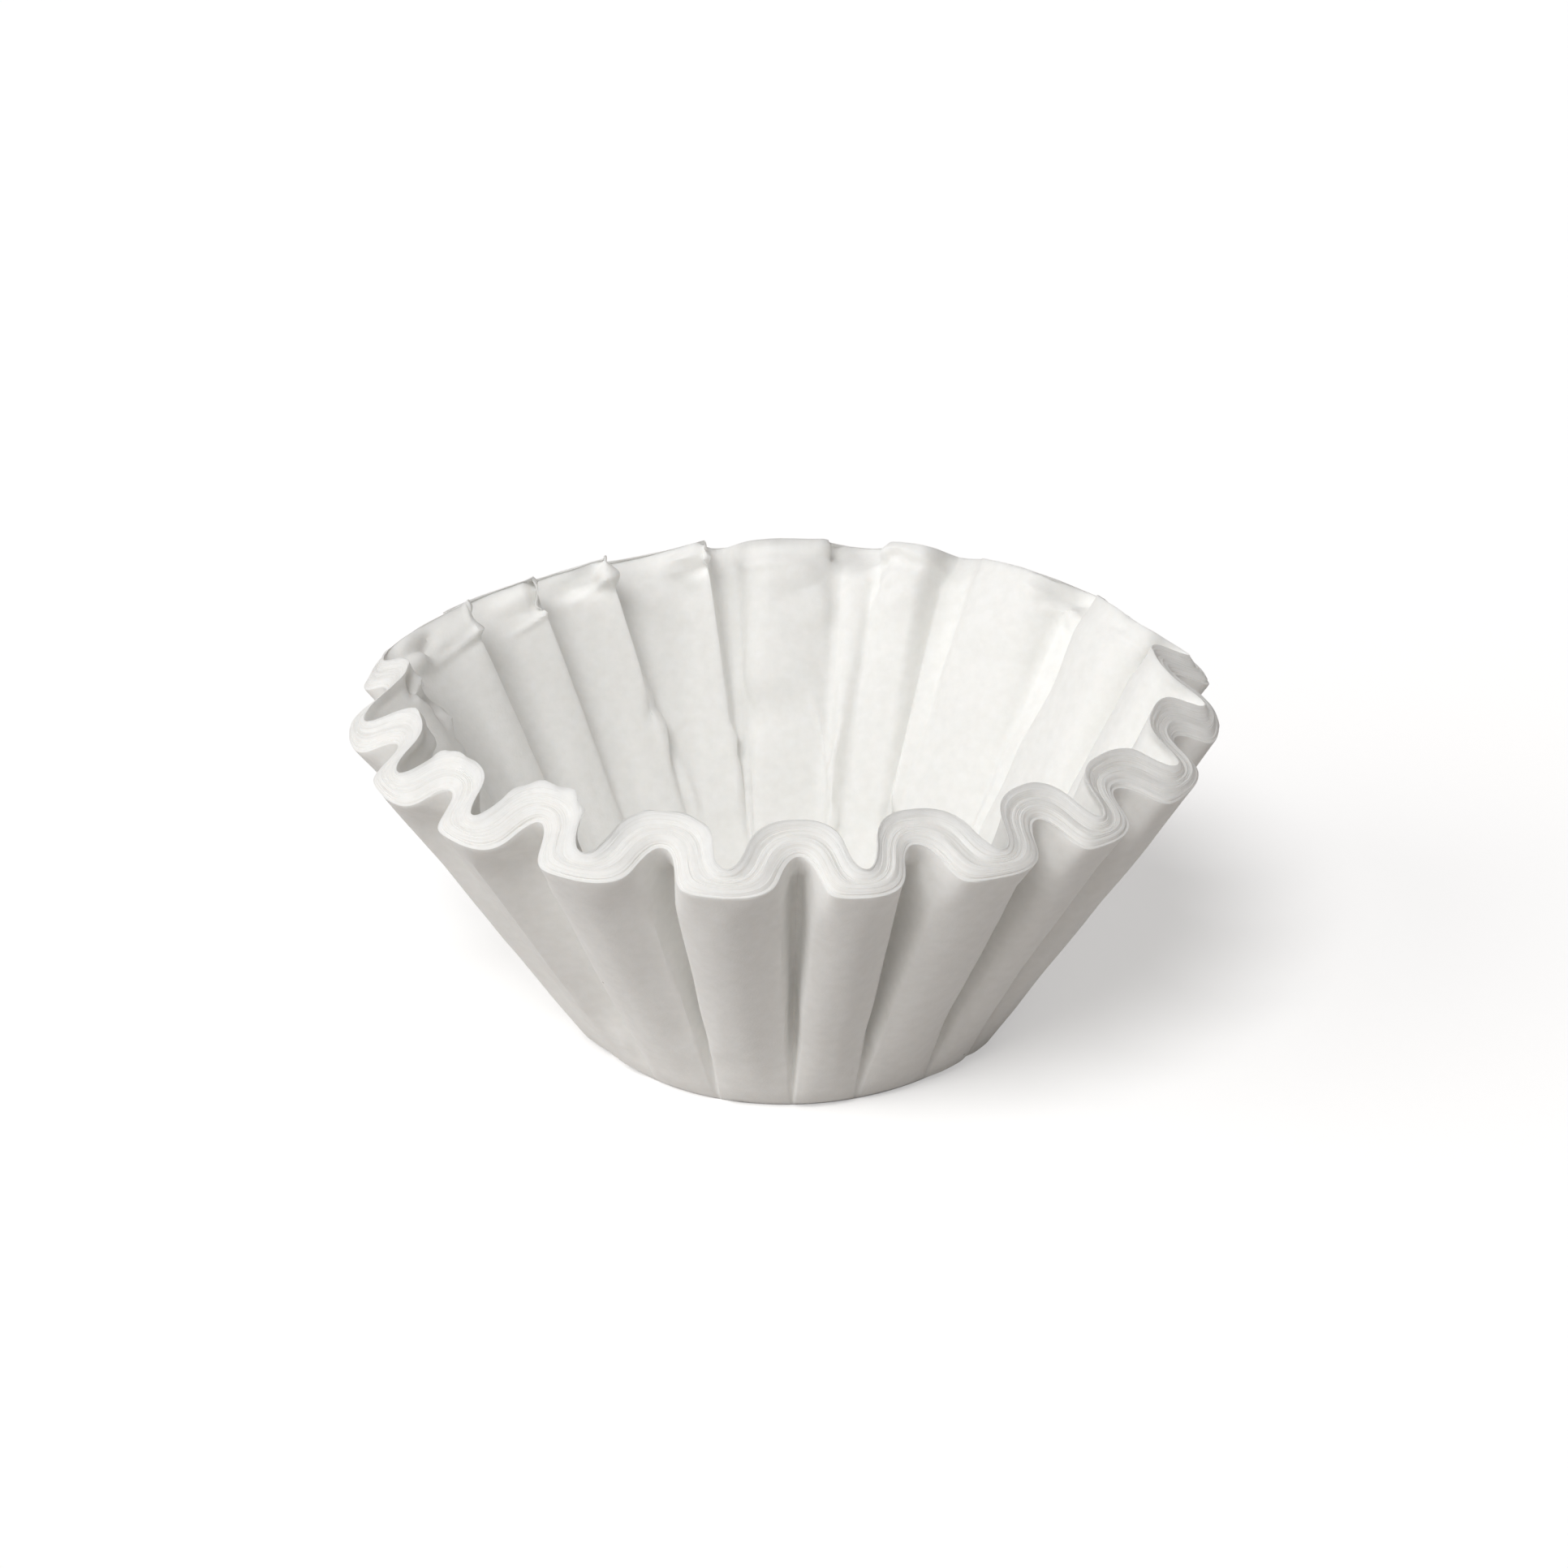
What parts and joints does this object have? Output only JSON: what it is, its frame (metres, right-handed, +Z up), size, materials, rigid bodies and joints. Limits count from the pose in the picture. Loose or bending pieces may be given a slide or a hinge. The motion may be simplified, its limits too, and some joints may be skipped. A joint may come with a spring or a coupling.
{
  "type": "nested stack of paper coffee filters",
  "caption": "Nested stack of fluted, flat-bottomed paper basket filters standing open; one is lifted out to line a coffee maker's brew basket and hold the grounds.",
  "frame": {"origin": "centre of the flat underside", "axes": "+Z up along the axis of the bowl, -Y towards the viewer of the picture, +X to the viewer's right"},
  "size_m": [0.1757, 0.1752, 0.0768],
  "materials": {
    "filter_paper": "matte, soft fibrous bleached paper"
  },
  "bodies": {
    "root": {"filter_stack": "filter_paper"}
  },
  "joints": []
}
